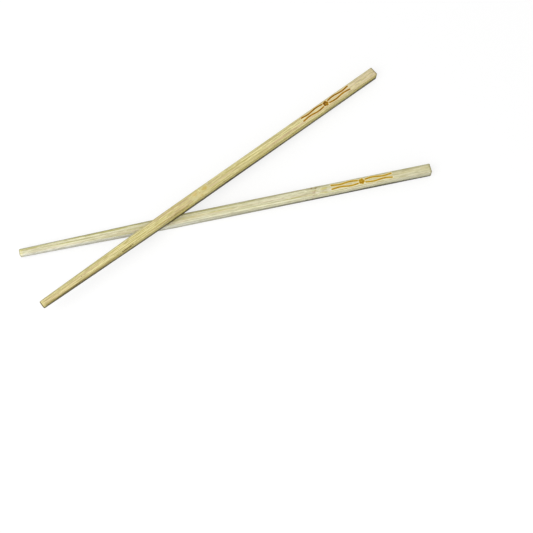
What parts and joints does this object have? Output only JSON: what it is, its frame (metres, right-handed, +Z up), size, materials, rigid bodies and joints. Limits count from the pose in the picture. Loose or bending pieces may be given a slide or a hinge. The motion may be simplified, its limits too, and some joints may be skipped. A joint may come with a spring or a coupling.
{
  "type": "pair of bamboo chopsticks",
  "caption": "Pair of square-handled bamboo chopsticks with rounded tapering tips, lying crossed, each with a burnt wave and blossom ornament on its handle, for picking up food.",
  "frame": {"origin": "bottom centre of the pair's bounding box, on the table that the pair lies on", "axes": "+X along the lower stick from its tip to its head, +Y to the side that the upper stick's head lies on, +Z up from the table"},
  "size_m": [0.23, 0.106, 0.0141],
  "materials": {
    "pale_bamboo": "planed bamboo, satin, with fine long fibres",
    "straw_bamboo": "planed bamboo, satin, with fine long fibres"
  },
  "bodies": {
    "root": {"lower_chopstick": "pale_bamboo", "upper_chopstick": "straw_bamboo"}
  },
  "joints": []
}
